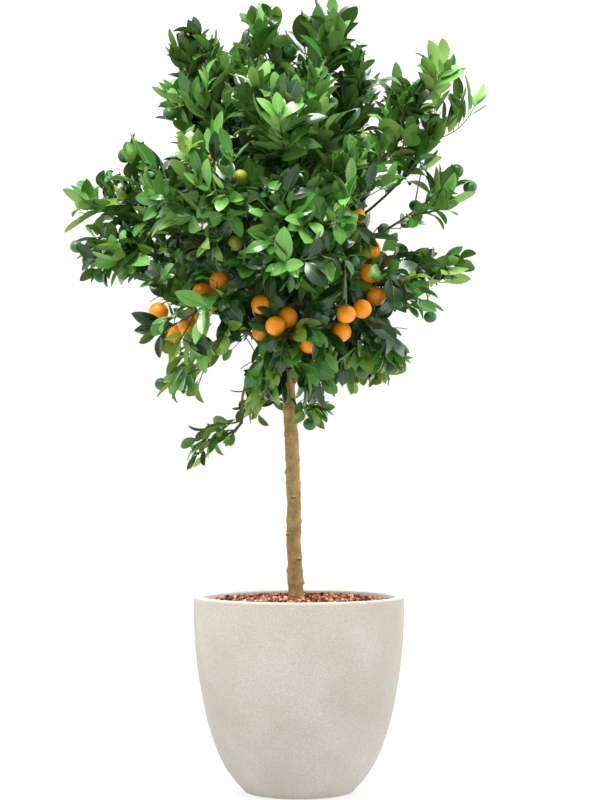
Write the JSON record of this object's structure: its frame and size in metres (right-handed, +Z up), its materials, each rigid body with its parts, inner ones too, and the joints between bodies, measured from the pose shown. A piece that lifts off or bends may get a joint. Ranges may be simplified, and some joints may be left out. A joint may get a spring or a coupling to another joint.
{
  "type": "calamondin orange tree in a round planter",
  "caption": "Small citrus tree grown as a standard: one slender stem with a round leafy crown and small orange and green fruit, in a round stone-look planter topped with clay granules.",
  "frame": {"origin": "centre of the planter's flat underside, on the surface that it stands on", "axes": "+Z up along the stem, -Y towards the tree's front, +X to its right"},
  "size_m": [0.7127, 0.6548, 1.3287],
  "materials": {
    "planter_stone": "matte",
    "potting_soil": "matte",
    "clay_granules": "matte",
    "bark": "matte",
    "bough_bark": "matte",
    "foliage": "satin",
    "ripe_fruit": "satin",
    "green_fruit": "satin"
  },
  "bodies": {
    "root": {"planter": "planter_stone", "soil": "potting_soil", "granules": "clay_granules", "trunk": "bark", "bough_top": "bough_bark", "bough_top_left": "bough_bark", "bough_top_back": "bough_bark", "bough_top_right": "bough_bark", "bough_front_high": "bough_bark", "bough_right_upper": "bough_bark", "bough_right_shoot": "bough_bark", "bough_right_middle": "bough_bark", "bough_right_lower": "bough_bark", "bough_right_low": "bough_bark", "bough_left_tip": "bough_bark", "bough_left_upper": "bough_bark", "bough_left_lower": "bough_bark", "bough_upper_left": "bough_bark", "bough_left_hanging": "bough_bark", "bough_front_left": "bough_bark", "bough_front": "bough_bark", "bough_front_right": "bough_bark", "bough_front_low_left": "bough_bark", "bough_front_low": "bough_bark", "bough_front_low_right": "bough_bark", "bough_back": "bough_bark", "bough_back_left": "bough_bark", "bough_back_right": "bough_bark", "bough_back_low_left": "bough_bark", "bough_back_low_right": "bough_bark", "bough_strand": "bough_bark", "foliage_top": "foliage", "foliage_top_left": "foliage", "foliage_top_back": "foliage", "foliage_top_right": "foliage", "foliage_front_high": "foliage", "foliage_right_upper": "foliage", "foliage_right_shoot": "foliage", "foliage_right_middle": "foliage", "foliage_right_lower": "foliage", "foliage_right_low": "foliage", "foliage_left_tip": "foliage", "foliage_left_upper": "foliage", "foliage_left_lower": "foliage", "foliage_upper_left": "foliage", "foliage_left_hanging": "foliage", "foliage_front_left": "foliage", "foliage_front": "foliage", "foliage_front_right": "foliage", "foliage_front_low_left": "foliage", "foliage_front_low": "foliage", "foliage_front_low_right": "foliage", "foliage_back": "foliage", "foliage_back_left": "foliage", "foliage_back_right": "foliage", "foliage_back_low_left": "foliage", "foliage_back_low_right": "foliage", "foliage_strand": "foliage", "foliage_sprout_front": "foliage", "foliage_sprout_left": "foliage"}
  },
  "joints": []
}
